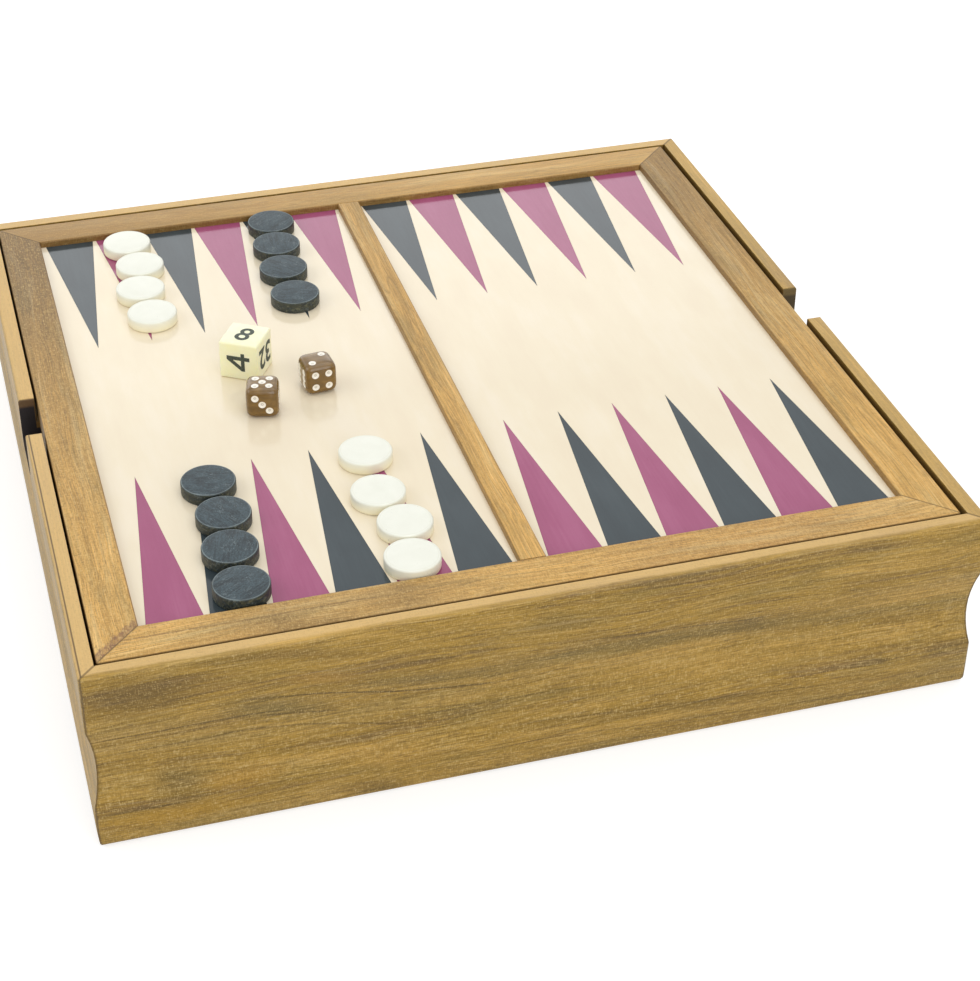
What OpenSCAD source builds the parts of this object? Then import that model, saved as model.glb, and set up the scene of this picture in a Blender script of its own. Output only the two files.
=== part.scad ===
// Square wooden games compendium: a moulded box whose lid is a framed, reversible board.
// Backgammon shows on top, draughts squares are on the underside, and the pieces stand in play.
// Millimetres. +Z up, +X right, -Y front. Origin: centre of the underside of the box.

/* [Box] */
// Overall width and depth of the square box
box_w = 320; // [290:1:350]
// Height of the box, table to rim
box_h = 73.5; // [66:0.5:82]
// Thickness of the wall moulding below the lid seat
wall_t = 12; // [10:0.5:14]
// Thickness of the rim that stands beside the lid
rim_t = 6; // [5:0.25:7]
// Rounding of the four outer corners
corner_r = 2; // [1:0.25:3]
// Rounding of the rim's outer top edge
rim_round = 1.2; // [0.6:0.1:2]

/* [Wall moulding] */
// Deepest inset of the cove in the outer face
cove_depth = 2.6; // [1.5:0.1:3.2]
// Radius of the cove
cove_r = 60; // [45:1:75]
// Drop from the rim to the deepest line of the cove
cove_drop = 39.5; // [36:0.5:43]
// Radius that eases the flat band above into the cove
ease_r = 10; // [6:1:14]
// Radius of the bulge below the cove
bulge_r = 25; // [18:1:30]
// Radius of the tuck from the bulge to the foot
tuck_r = 90; // [70:5:120]
// Rounding of the outer bottom edge
foot_round = 1.6; // [1:0.1:2.4]

/* [Finger notches] */
// Length of each finger notch along its wall
notch_w = 24.8; // [20:0.2:32]
// Depth of each finger notch below the rim
notch_depth = 20; // [17:0.5:23]
// Rounding of the notch's bottom corners
notch_r = 4; // [2:0.5:6]
// Round-over where the notch meets the rim
notch_flare = 0.8; // [0.4:0.1:2]

/* [Base and lining] */
// Thickness of the plywood base
base_t = 4; // [3:0.5:6]
// Height of the base above the table
base_up = 5; // [4:0.5:8]
// Depth of the groove that holds the base
groove_depth = 5; // [3:0.5:6]
// Clearance of a panel in its groove
groove_play = 0.2; // [0.1:0.05:0.4]
// Thickness of the baize lining
lining_t = 1; // [0.6:0.1:2]

/* [Dividers] */
// Thickness of the dividers
divider_t = 4; // [3:0.5:6]
// Gap between the top of the dividers and the lid seat
divider_drop = 2; // [1:0.5:6]
// Distance of the long divider behind the middle
long_divider_y = 34; // [28:1:50]
// Distance of each cross divider from the middle
cross_divider_x = 52; // [40:1:70]
// Depth of the housings that hold the dividers' ends
housing_depth = 2; // [1:0.25:3]
// Clearance in the halving joints and housings
joint_play = 0.1; // [0.05:0.05:0.3]

/* [Mitre keys] */
// Width of a key across the mitre
key_w = 8; // [6:0.5:10]
// Thickness of a key
key_t = 2; // [1.5:0.25:3]
// Height of the wall keys' lower end above the table
key_foot = 13; // [11:1:18]
// Gap between a wall key's upper end and the lid seat
key_head = 6; // [4:1:12]
// Height of the keys in the lid's corners
lid_key_h = 2; // [1.5:0.1:2.4]

/* [Lid frame] */
// Gap between lid and rim at the left and right
lid_gap_x = 1.5; // [1:0.1:2]
// Gap between lid and rim at the front and back
lid_gap_y = 1; // [0.8:0.1:1.6]
// How far the lid lies to the left in its opening
lid_shift = 0.6; // [0:0.1:0.7]
// Thickness of the lid frame
lid_t = 11; // [10:0.5:13]
// Width of the lid's four rails
rail_w = 16; // [13:0.5:19]
// Easing of the rails' edges
rail_ease = 0.7; // [0.4:0.1:1.2]
// Rounding of the lid's four corners
lid_corner_r = 0.8; // [0.4:0.1:1.5]
// Width of the centre bar
bar_w = 9.5; // [8:0.25:12]
// How far the centre bar lies to the left of the board's middle
bar_shift = 0.6; // [0:0.1:1.2]

/* [Board] */
// Depth of the playing field below the rails
field_drop = 2.7; // [2:0.1:3.4]
// Thickness of the board's plywood core
core_t = 4; // [3:0.25:4.5]
// Thickness of the veneers on both sides of the core
veneer_t = 0.6; // [0.4:0.1:0.8]
// How far the board reaches into the rails' grooves
tongue = 4.5; // [3:0.5:5]
// Distance of the points' tips from the middle of the board
tip_y = 47.3; // [40:0.1:60]
// Bare strip between two neighbouring points at their bases
point_gap = 1.45; // [0.6:0.05:2]
// Bare strip between the outer points and the rails
side_strip = 2.4; // [0.6:0.1:3.5]
// Bare strip between the inner points and the centre bar
bar_strip = 1.4; // [0.6:0.1:2.5]
// Glue line round every inlaid veneer
inlay_play = 0.05; // [0.02:0.01:0.1]
// Width of the border beside the squares on the draughts side
border_w = 8.5; // [4:0.5:14]

/* [Playing pieces] */
// Radius of a counter
counter_r = 10; // [9:0.1:11]
// Thickness of a counter
counter_t = 4.8; // [4:0.1:6]
// Rounding of a counter's edges
counter_ease = 0.5; // [0.3:0.1:0.9]
// Width of a die
die_w = 12.7; // [11:0.1:15]
// Rounding of a die's edges
die_round = 2.2; // [1.5:0.1:2.6]
// Radius of a pip at the surface
pip_r = 1.42; // [1:0.02:1.5]
// Flat margin between the outer pips and a die's rounded edge
pip_margin = 0.08; // [0:0.02:0.3]
// Depth of a pip
pip_depth = 0.4; // [0.2:0.05:0.6]
// Width of the doubling cube
cube_w = 16; // [14:0.5:18]
// Rounding of the doubling cube's edges
cube_round = 1; // [0.6:0.1:1.6]

/* [Hidden] */
$fn = 96;
// Facets of the wall's long arcs
long_arc = 360;
// How far a cut runs past the face that it opens
past = 1;

// Colours, as the photograph shows them
wall_wood = "#94784a";
rail_wood = "#c9a469";
ply_wood = "#d8bd8a";
field_cream = "#f7edd8";
point_grey = "#5b666c";
point_purple = "#b0648c";
baize = "#1f2a3c";
draughts_brown = "#6b4526";
counter_white = "#f5f8ea";
counter_black = "#3d474b";
die_brown = "#7a5a34";
cube_ivory = "#f1eec0";

// Box, worked out from the driving dimensions
half = box_w / 2;
opening = box_w - 2 * rim_t;
interior = box_w - 2 * wall_t;
seat_z = box_h - lid_t;
cove_z = box_h - cove_drop;
cove_centre = cove_depth - cove_r;
floor_z = base_up + base_t + lining_t;
divider_top = seat_z - divider_drop;
divider_foot = base_up + base_t;
housing_span = interior + 2 * (housing_depth - joint_play);
groove_h = base_t + groove_play;
base_w = interior + 2 * (groove_depth - groove_play);
key_h = seat_z - key_foot - key_head;
key_centre = half - (wall_t + cove_depth) / 2;

// Lid, worked out from the opening that it drops into. A rank is the number of squares along
// one side of the draughts board.
lid_w = opening - 2 * lid_gap_x;
lid_d = opening - 2 * lid_gap_y;
field_w = lid_w - 2 * rail_w;
field_d = lid_d - 2 * rail_w;
field_z = box_h - field_drop;
core_z = field_z - veneer_t - core_t;
rank = 8;
square_w = (min(field_w, field_d) - 2 * border_w) / rank;
panel_t = core_t + 2 * veneer_t;
panel_z = core_z - veneer_t;
lid_key_z = (seat_z + panel_z - lid_key_h) / 2;
lid_key_centre = (rail_w - tongue - groove_play) / 2;

// Points: twelve on each long side of the board, six in each half. Lists give the left half,
// then the right one.
half_w = [(field_w - bar_w) / 2 - bar_shift, (field_w - bar_w) / 2 + bar_shift];
half_x = [-field_w / 2 + side_strip, bar_w / 2 - bar_shift + bar_strip];
points_n = 6;
point_pitch = [for (w = half_w) (w - side_strip - bar_strip + point_gap) / points_n];
point_len = field_d / 2 - tip_y;

// How each stack of counters lies in the photograph, from the rail inwards: each counter's
// offset sideways from the point's middle, and its gap to the rail or to the one before it
white_back = [[1.7, 3.0], [4.1, 0.4], [1.2, 0.4], [2.7, 1.1]];
black_back = [[0.4, 1.4], [-1.4, 0.3], [-2.8, 0.9], [-2.7, 2.6]];
black_front = [[2.7, 0.7], [2.9, 1.6], [4.5, 0.6], [2.9, 0.9]];
white_front = [[-2.4, 0.4], [0.3, 0.5], [-4.3, 0.5], [-2.6, 6.0]];
second_point = 1;
fifth_point = 4;

// Where the dice and the doubling cube stand, and how they are turned
five_place = [-70.0, -15.8];
five_turn = -13.7;
two_place = [-46.4, -4.8];
two_turn = 5.5;
cube_place = [-70.5, 15.0];
cube_turn = -32;
pip_pitch = die_w / 2 - die_round - pip_r - pip_margin;

// ---- Wall mouldings -------------------------------------------------------------------

// Drop along the face from the deepest line of the cove to where an easing arc of radius r
// leaves the face: both arcs and the face are tangent there
function ease_reach(r) = sqrt(pow(cove_r + r, 2) - pow(r - cove_centre, 2));

// Convex easing between the flat face and the cove, on the side that way gives (1 up, -1 down)
module cove_easing(r, way) {
  reach = ease_reach(r);
  along = r / (cove_r + r);
  touch = [r - (r - cove_centre) * along, reach * (1 - along)];
  translate([0, cove_z]) mirror([0, way > 0 ? 0 : 1])
    difference() {
      polygon([[-past, touch[1]], touch, [r, reach], [-past, reach]]);
      translate([r, reach]) circle(r, $fn = long_arc);
    }
}

// Rounding of an outward corner: what is cut away at [0, 0] from a shape towards +x, +y
module corner_cut(r) {
  difference() {
    translate([-past, -past]) square(r + past);
    translate([r, r]) circle(r);
  }
}

// Section of a wall: x runs inwards from the outer face, y upwards from the table
module wall_profile() {
  peak_z = cove_z - ease_reach(bulge_r);
  difference() {
    square([wall_t, box_h]);
    translate([rim_t, seat_z]) square([wall_t, lid_t + past]);
    translate([cove_centre, cove_z]) circle(cove_r, $fn = long_arc);
    cove_easing(ease_r, 1);
    cove_easing(bulge_r, -1);
    difference() {
      translate([-past, -past]) square([wall_t / 2, peak_z + past]);
      translate([tuck_r, peak_z]) circle(tuck_r, $fn = long_arc);
    }
    translate([tuck_r - sqrt(pow(tuck_r, 2) - pow(peak_z, 2)), 0]) corner_cut(foot_round);
    translate([0, box_h]) mirror([0, 1]) corner_cut(rim_round);
    translate([wall_t - groove_depth, base_up]) square([groove_depth + past, groove_h]);
  }
}

// Plan of a rectangle with rounded corners
module rounded_plan(w, d, r) {
  square([w, d - 2 * r], center = true);
  square([w - 2 * r, d], center = true);
  for (x = [-1, 1], y = [-1, 1])
    translate([x * (w / 2 - r), y * (d / 2 - r)]) circle(r);
}

// Plan of the front one of four mitred lengths that frame w by d, each t wide
module mitred_plan(w, d, t) {
  polygon([[-w / 2, -d / 2], [w / 2, -d / 2], [w / 2 - t, t - d / 2], [t - w / 2, t - d / 2]]);
}

// Upright plate across a mitre, as a key or as the slot for it
module mitre_key(x, y, turn, w, t, h) {
  translate([x, y, 0]) rotate([0, 0, turn]) translate([-w / 2, -t / 2, 0]) cube([w, t, h]);
}

module wall_keys(play) {
  for (k = [0:3]) rotate([0, 0, 90 * k])
    translate([0, 0, key_foot - play])
      mitre_key(key_centre, key_centre, -45, key_w + 2 * play, key_t + 2 * play, key_h + 2 * play);
}

// The three dividers as blocks, swollen by the play where they are used as housings
module long_block(play) {
  translate([-housing_span / 2 - play, long_divider_y - divider_t / 2 - play, divider_foot])
    cube([housing_span + 2 * play, divider_t + 2 * play, divider_top - divider_foot + 2 * play]);
}

module cross_block(side, play) {
  translate([side * cross_divider_x - divider_t / 2 - play, -housing_span / 2 - play, divider_foot])
    cube([divider_t + 2 * play, housing_span + 2 * play, divider_top - divider_foot + 2 * play]);
}

// One mitred wall, turned to its side of the box, with the housings and key slots cut in it
module wall(turn) {
  difference() {
    rotate([0, 0, turn]) intersection() {
      translate([-half, -half, 0]) rotate([90, 0, 90]) linear_extrude(box_w) wall_profile();
      linear_extrude(box_h) mitred_plan(box_w, box_w, wall_t);
      linear_extrude(box_h) rounded_plan(box_w, box_w, corner_r);
    }
    wall_keys(joint_play);
    long_block(joint_play);
    for (side = [-1, 1]) cross_block(side, joint_play);
  }
}

// Finger notch: flat floor with rounded corners, and ends that round over into the rim
module notch_profile() {
  translate([-notch_w / 2, -notch_depth + notch_r]) square([notch_w, notch_depth]);
  translate([-notch_w / 2 + notch_r, -notch_depth]) square([notch_w - 2 * notch_r, notch_depth]);
  for (s = [-1, 1]) {
    translate([s * (notch_w / 2 - notch_r), notch_r - notch_depth]) circle(notch_r);
    mirror([s > 0 ? 0 : 1, 0])
      difference() {
        translate([notch_w / 2 - past, -notch_flare]) square(notch_flare + past);
        translate([notch_w / 2 + notch_flare, -notch_flare]) circle(notch_flare);
      }
  }
}

module finger_notch(side) {
  translate([side * (half - wall_t / 2) - wall_t, 0, box_h])
    rotate([90, 0, 90]) linear_extrude(2 * wall_t) notch_profile();
}

module front_wall() {
  color(wall_wood) wall(0);
}

module back_wall() {
  color(wall_wood) wall(180);
}

module left_wall() {
  color(wall_wood) difference() {
    wall(-90);
    finger_notch(-1);
  }
}

module right_wall() {
  color(wall_wood) difference() {
    wall(90);
    finger_notch(1);
  }
}

// ---- Inside of the box ----------------------------------------------------------------

module base_panel() {
  color(ply_wood) translate([-base_w / 2, -base_w / 2, base_up]) cube([base_w, base_w, base_t]);
}

module wall_corner_keys() {
  color(ply_wood) wall_keys(0);
}

// Lower half of the height is left on one divider and the upper half on the other
module long_divider() {
  mid = (divider_foot + divider_top) / 2;
  color(ply_wood) difference() {
    long_block(0);
    for (side = [-1, 1])
      translate([side * cross_divider_x - divider_t / 2 - joint_play, long_divider_y - divider_t, mid])
        cube([divider_t + 2 * joint_play, 2 * divider_t, divider_top]);
  }
}

module cross_divider(side) {
  mid = (divider_foot + divider_top) / 2;
  color(ply_wood) difference() {
    cross_block(side, 0);
    translate([side * cross_divider_x - divider_t, long_divider_y - divider_t / 2 - joint_play, 0])
      cube([2 * divider_t, divider_t + 2 * joint_play, mid]);
  }
}

module left_cross_divider() {
  cross_divider(-1);
}

module right_cross_divider() {
  cross_divider(1);
}

// A sheet of baize in each of the six compartments
module base_lining() {
  lining_gap = 0.3;
  edge = interior / 2;
  xs = [-edge, -cross_divider_x, cross_divider_x, edge];
  ys = [-edge, long_divider_y, edge];
  color(baize)
    for (i = [0:2], j = [0:1]) {
      x0 = xs[i] + (i > 0 ? divider_t / 2 : 0) + lining_gap;
      x1 = xs[i + 1] - (i < 2 ? divider_t / 2 : 0) - lining_gap;
      y0 = ys[j] + (j > 0 ? divider_t / 2 : 0) + lining_gap;
      y1 = ys[j + 1] - (j < 1 ? divider_t / 2 : 0) - lining_gap;
      translate([x0, y0, base_up + base_t]) cube([x1 - x0, y1 - y0, lining_t]);
    }
}

// ---- Lid frame ------------------------------------------------------------------------

module on_lid() {
  translate([-lid_shift, 0, 0]) children();
}

// Section of a rail: x runs inwards from the lid's edge, y upwards from the lid seat
module rail_profile() {
  difference() {
    square([rail_w, lid_t]);
    corner_cut(rail_ease);
    translate([rail_w, 0]) mirror([1, 0]) corner_cut(rail_ease);
    translate([0, lid_t]) mirror([0, 1]) corner_cut(rail_ease);
    translate([rail_w, lid_t]) mirror([1, 0]) mirror([0, 1]) corner_cut(rail_ease);
    translate([rail_w - tongue - groove_play, panel_z - seat_z])
      square([tongue + groove_play + past, panel_t]);
  }
}

module lid_keys(play) {
  for (sx = [-1, 1], sy = [-1, 1])
    translate([0, 0, lid_key_z - play])
      mitre_key(sx * (lid_w / 2 - lid_key_centre), sy * (lid_d / 2 - lid_key_centre),
        -45 * sx * sy, key_w + 2 * play, key_t + 2 * play, lid_key_h + 2 * play);
}

// One mitred rail: turned is true for the left and right ones, whose length is the lid's depth
module rail(turn, turned) {
  w = turned ? lid_d : lid_w;
  d = turned ? lid_w : lid_d;
  on_lid() difference() {
    rotate([0, 0, turn]) intersection() {
      translate([-w / 2, -d / 2, seat_z])
        rotate([90, 0, 90]) linear_extrude(w) rail_profile();
      translate([0, 0, seat_z]) linear_extrude(lid_t) mitred_plan(w, d, rail_w);
      translate([0, 0, seat_z]) linear_extrude(lid_t) rounded_plan(w, d, lid_corner_r);
    }
    lid_keys(joint_play);
  }
}

module lid_front_rail() {
  color(rail_wood) rail(0, false);
}

module lid_back_rail() {
  color(rail_wood) rail(180, false);
}

module lid_left_rail() {
  color(rail_wood) rail(-90, true);
}

module lid_right_rail() {
  color(rail_wood) rail(90, true);
}

module lid_corner_keys() {
  color(ply_wood) on_lid() lid_keys(0);
}

module centre_bar() {
  color(rail_wood) on_lid() translate([-bar_shift, field_d / 2, field_z])
    rotate([90, 0, 0]) linear_extrude(field_d)
      difference() {
        translate([-bar_w / 2, 0]) square([bar_w, field_drop]);
        for (s = [0, 1]) mirror([s, 0])
          translate([-bar_w / 2, field_drop]) mirror([0, 1]) corner_cut(rail_ease);
      }
}

// ---- Board ----------------------------------------------------------------------------

module sheet(z, t) {
  w = field_w + 2 * tongue;
  d = field_d + 2 * tongue;
  on_lid() translate([-w / 2, -d / 2, z]) cube([w, d, t]);
}

module board_core() {
  color(ply_wood) sheet(core_z, core_t);
}

// Width of a point at its base, in the left (0) or right (1) half
function point_base(h) = point_pitch[h] - point_gap;

// Middle of a point, counted from 0 at the left, in the left (0) or right (1) half
function point_x(h, k) = half_x[h] + point_base(h) / 2 + k * point_pitch[h];

// Outline of one point of the back row, grown by g all round
module point_outline(h, k, g) {
  half_base = point_base(h) / 2;
  slope = sqrt(pow(point_len, 2) + pow(half_base, 2)) / half_base;
  x = point_x(h, k);
  tip = tip_y - g * slope;
  base_y = field_d / 2;
  side = half_base + g * slope * half_base / point_len;
  polygon([[x - side, base_y + g], [x, tip], [x + side, base_y + g]]);
}

// Points of one colour: colours alternate along a row and change over between the rows
module points(colour_of_first, g) {
  for (h = [0, 1], k = [0:points_n - 1], row = [0, 1])
    if ((k + row) % 2 == colour_of_first)
      mirror([0, row]) point_outline(h, k, g);
}

module playing_field() {
  color(field_cream) difference() {
    sheet(field_z - veneer_t, veneer_t);
    on_lid() translate([0, 0, field_z - veneer_t - past]) linear_extrude(veneer_t + 2 * past)
      for (c = [0, 1]) points(c, inlay_play);
  }
}

module point_veneers(colour_of_first) {
  on_lid() translate([0, 0, field_z - veneer_t]) linear_extrude(veneer_t) points(colour_of_first, 0);
}

module grey_points() {
  color(point_grey) point_veneers(0);
}

module purple_points() {
  color(point_purple) point_veneers(1);
}

// Squares of the draughts side: tint 0 is dark, 1 is light
module squares(tint) {
  side = square_w - 2 * inlay_play;
  edge = rank * square_w / 2;
  on_lid() translate([-edge, -edge, panel_z])
    for (i = [0:rank - 1], j = [0:rank - 1])
      if ((i + j) % 2 == tint)
        translate([i * square_w + inlay_play, j * square_w + inlay_play, 0])
          cube([side, side, veneer_t]);
}

module draughts_border() {
  inner = rank * square_w + 2 * inlay_play;
  color(rail_wood) difference() {
    sheet(panel_z, veneer_t);
    on_lid() translate([-inner / 2, -inner / 2, panel_z - past])
      cube([inner, inner, veneer_t + 2 * past]);
  }
}

module draughts_dark_squares() {
  color(draughts_brown) squares(0);
}

module draughts_light_squares() {
  color(field_cream) squares(1);
}

// ---- Playing pieces -------------------------------------------------------------------

// Distance of a stack's counter n from the rail, to the counter's middle
function from_rail(stack, n) =
  stack[n][1] + (n == 0 ? counter_r : from_rail(stack, n - 1) + 2 * counter_r);

// Counter n of a stack, counted from 0 at the rail of the back (1) or front (-1) row
module counter(stack, n, point, row) {
  on_lid() translate([point_x(0, point) + stack[n][0], row * (field_d / 2 - from_rail(stack, n)), field_z])
    rotate_extrude()
      difference() {
        square([counter_r, counter_t]);
        translate([counter_r, 0]) mirror([1, 0]) corner_cut(counter_ease);
        translate([counter_r, counter_t]) mirror([1, 0]) mirror([0, 1]) corner_cut(counter_ease);
      }
}

// White counters 1 to 4 stand at the back and 5 to 8 at the front
module white_counter(n) {
  color(counter_white)
    if (n <= 4) counter(white_back, n - 1, second_point, 1);
    else counter(white_front, n - 5, fifth_point, -1);
}

// Black counters 1 to 4 stand at the back and 5 to 8 at the front
module black_counter(n) {
  color(counter_black)
    if (n <= 4) counter(black_back, n - 1, fifth_point, 1);
    else counter(black_front, n - 5, second_point, -1);
}

// Cube of width w with its edges rounded by r, cut by a ball that rounds its corners, standing
// on the field
module rounded_cube(w, r, ball_r) {
  translate([0, 0, w / 2]) intersection() {
    translate([0, 0, -w / 2]) linear_extrude(w) rounded_plan(w, w, r);
    rotate([90, 0, 0]) translate([0, 0, -w / 2]) linear_extrude(w) rounded_plan(w, w, r);
    rotate([0, 90, 0]) translate([0, 0, -w / 2]) linear_extrude(w) rounded_plan(w, w, r);
    sphere(ball_r);
  }
}

// Places of the pips on a face, in units of their spacing
function pips(n) =
  n == 1 ? [[0, 0]] :
  n == 2 ? [[-1, -1], [1, 1]] :
  n == 3 ? [[-1, 1], [0, 0], [1, -1]] :
  n == 4 ? [[-1, -1], [-1, 1], [1, -1], [1, 1]] :
  n == 5 ? [[-1, -1], [-1, 1], [0, 0], [1, -1], [1, 1]] :
  [[-1, -1], [0, -1], [1, -1], [-1, 1], [0, 1], [1, 1]];

// A pip is a shallow cap of a sphere
module pip_row(n) {
  ball_r = (pow(pip_r, 2) + pow(pip_depth, 2)) / (2 * pip_depth);
  for (p = pips(n))
    translate([p[0] * pip_pitch, p[1] * pip_pitch, die_w / 2 + ball_r - pip_depth])
      sphere(ball_r);
}

// Die with the given faces up, towards -Y and towards +X. Its ball runs through the middles of
// the cube's edges.
module die(top, front, right) {
  face_sum = 7; // Opposite faces add up to this
  difference() {
    rounded_cube(die_w, die_round, die_w / sqrt(2));
    translate([0, 0, die_w / 2]) {
      pip_row(top);
      rotate([180, 0, 0]) pip_row(face_sum - top);
      rotate([90, 0, 0]) pip_row(front);
      rotate([-90, 0, 0]) pip_row(face_sum - front);
      rotate([0, 90, 0]) pip_row(right);
      rotate([0, -90, 0]) pip_row(face_sum - right);
    }
  }
}

module on_field(place, turn) {
  on_lid() translate([place[0], place[1], field_z]) rotate([0, 0, turn]) children();
}

module die_five() {
  color(die_brown) on_field(five_place, five_turn) die(5, 3, 6);
}

module die_two() {
  color(die_brown) on_field(two_place, two_turn) die(2, 4, 1);
}

module doubling_cube() {
  ball_r = (cube_w / 2 - cube_round) * sqrt(3) + cube_round;
  color(cube_ivory) on_field(cube_place, cube_turn) rounded_cube(cube_w, cube_round, ball_r);
}

// ---------------------------------------------------------------------------------------

front_wall();
back_wall();
left_wall();
right_wall();
base_panel();
wall_corner_keys();
long_divider();
left_cross_divider();
right_cross_divider();
base_lining();
lid_front_rail();
lid_back_rail();
lid_left_rail();
lid_right_rail();
lid_corner_keys();
centre_bar();
board_core();
playing_field();
grey_points();
purple_points();
draughts_border();
draughts_light_squares();
draughts_dark_squares();
white_counter(1);  // white_counter_1
white_counter(2);  // white_counter_2
white_counter(3);  // white_counter_3
white_counter(4);  // white_counter_4
white_counter(5);  // white_counter_5
white_counter(6);  // white_counter_6
white_counter(7);  // white_counter_7
white_counter(8);  // white_counter_8
black_counter(1);  // black_counter_1
black_counter(2);  // black_counter_2
black_counter(3);  // black_counter_3
black_counter(4);  // black_counter_4
black_counter(5);  // black_counter_5
black_counter(6);  // black_counter_6
black_counter(7);  // black_counter_7
black_counter(8);  // black_counter_8
die_five();
die_two();
doubling_cube();
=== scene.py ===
"""A square wooden games box whose lid is a backgammon board, set out with its counters, dice and
doubling cube. Everything is in metres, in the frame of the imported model."""

import math

import bmesh
import bpy
from mathutils import Matrix, Vector


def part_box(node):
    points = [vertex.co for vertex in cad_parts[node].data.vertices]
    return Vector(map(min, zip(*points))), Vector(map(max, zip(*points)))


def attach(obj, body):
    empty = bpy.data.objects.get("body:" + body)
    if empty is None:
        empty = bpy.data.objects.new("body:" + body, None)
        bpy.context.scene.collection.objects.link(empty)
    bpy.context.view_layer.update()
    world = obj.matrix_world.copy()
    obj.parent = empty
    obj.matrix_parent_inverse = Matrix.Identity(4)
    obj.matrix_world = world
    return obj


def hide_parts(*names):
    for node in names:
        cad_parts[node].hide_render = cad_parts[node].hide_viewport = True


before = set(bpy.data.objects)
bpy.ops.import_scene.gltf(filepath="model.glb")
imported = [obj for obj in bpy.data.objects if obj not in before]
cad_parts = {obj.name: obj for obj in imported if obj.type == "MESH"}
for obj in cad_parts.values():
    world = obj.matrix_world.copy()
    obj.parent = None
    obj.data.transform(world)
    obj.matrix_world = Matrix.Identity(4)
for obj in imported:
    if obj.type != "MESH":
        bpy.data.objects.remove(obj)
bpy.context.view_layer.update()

# Sizes and places in millimetres, and turns in degrees, unless a comment says otherwise
MM = 0.001
FLOOR_REACH = 4.0  # metres from the middle of the floor to its edge
BOX_W, RIM_T, RIM_Z, SEAT_Z = 320.0, 6.0, 73.5, 62.5
NOTCH_W, NOTCH_DEPTH = 24.8, 20.0
LID_W, LID_D, LID_SHIFT, RAIL_W = 305.0, 306.0, 0.6, 16.0
FIELD_W, FIELD_D, FIELD_Z = 273.0, 274.0, 70.8
BAR_X, BAR_W = -1.2, 9.5
TOP_BAND = 3.5  # the part of a wall below the rim that its flat top can reach
UP_FROM, UP_FULL = 0.35, 0.95  # how much of a direction points up, from sloping to level
COUNTER_R, COUNTER_T, COUNTER_SIDES, ARC_STEPS = 10.0, 4.8, 96, 6
LOT_TURN = 2.4  # radians from one counter's grain to the next one's
DIE_W, DIE_POWER, DIE_CUTS = 12.7, 5.2, 63
PIP_R, PIP_DEPTH, PIP_PITCH, PIP_NEAR = 1.42, 0.4, 2.65, 1.5
FIVE_PLACE, FIVE_TURN = (-70.6, -15.8), -13.7
TWO_PLACE, TWO_TURN = (-47.0, -4.8), 5.5
CUBE_W, STAMP_RISE = 16.0, 0.02
CUBE_PLACE, CUBE_TURN = (-71.1, 15.0), -32.0


# ---- Small tools -----------------------------------------------------------------------


def linear(colour):
    """An sRGB hex colour as linear red, green, blue and alpha."""
    parts = [int(colour[i : i + 2], 16) / 255 for i in (1, 3, 5)]
    return [p / 12.92 if p <= 0.04045 else ((p + 0.055) / 1.055) ** 2.4 for p in parts] + [1.0]


def fit(tree, node, inputs):
    """Gives a node its inputs. Each is a value, a socket, or a node, whose first working output
    is then linked."""
    for name, value in inputs.items():
        if isinstance(value, bpy.types.Node):
            value = next(output for output in value.outputs if output.enabled)
        if isinstance(value, bpy.types.NodeSocket):
            tree.links.new(value, node.inputs[name])
        else:
            node.inputs[name].default_value = value


def add(tree, kind, settings=None, inputs=None):
    """Adds a node with its settings and inputs. A setting named ramp gives a colour ramp's stops,
    as (place, hex) pairs."""
    node = tree.nodes.new("ShaderNode" + kind)
    for name, value in (settings or {}).items():
        if name == "ramp":
            stops = node.color_ramp.elements
            while len(stops) < len(value):
                stops.new(0.5)
            for stop, (place, colour) in zip(stops, value):
                stop.position = place
                stop.color = linear(colour)
        else:
            setattr(node, name, value)
    fit(tree, node, inputs or {})
    return node


def new_material(name):
    """An empty material, its node tree and its Principled shader."""
    material = bpy.data.materials.new(name)
    material.use_nodes = True
    tree = material.node_tree
    tree.nodes.clear()
    shader = add(tree, "BsdfPrincipled")
    add(tree, "OutputMaterial", inputs={"Surface": shader})
    return material, tree, shader


def place_piece(mesh, name, body, materials, replaced):
    """Links a finished mesh as a piece that rides on a body and stands for CAD nodes."""
    for material in materials:
        mesh.materials.append(material)
    piece = bpy.data.objects.new(name, mesh)
    bpy.context.scene.collection.objects.link(piece)
    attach(piece, body)
    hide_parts(*replaced)


def smooth_to(bm, angle):
    """Smooth faces, with the edges that turn by more than angle degrees left sharp."""
    for face in bm.faces:
        face.smooth = True
    for edge in bm.edges:
        edge.smooth = len(edge.link_faces) == 2 and edge.calc_face_angle(0) < math.radians(angle)


def merged_copy(node):
    """A bmesh of a CAD node with its loose triangles joined up."""
    bm = bmesh.new()
    bm.from_mesh(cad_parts[node].data)
    bmesh.ops.remove_doubles(bm, verts=bm.verts, dist=0.002 * MM)
    return bm


def dress_copy(node, name, body, material, angle=30):
    """A smooth-shaded copy of a CAD node, in a material of its own."""
    bm = merged_copy(node)
    smooth_to(bm, angle)
    mesh = bpy.data.meshes.new(name)
    bm.to_mesh(mesh)
    bm.free()
    place_piece(mesh, name, body, [material], [node])


# ---- Camera, light and floor -------------------------------------------------------------

scene = bpy.context.scene
scene.view_settings.view_transform = "Standard"

# Fitted to the corners, rims and points in the photograph
lens = bpy.data.cameras.new("camera")
lens.sensor_width = 36
lens.lens = 79.84
lens.shift_x = 0.0275
lens.shift_y = -0.0464
lens.clip_start = 0.05
camera = bpy.data.objects.new("camera", lens)
camera.location = (-0.1882, -0.7066, 0.5184)
camera.rotation_euler = (math.radians(56.36), 0, math.radians(-15.875))
scene.collection.objects.link(camera)
scene.camera = camera


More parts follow.
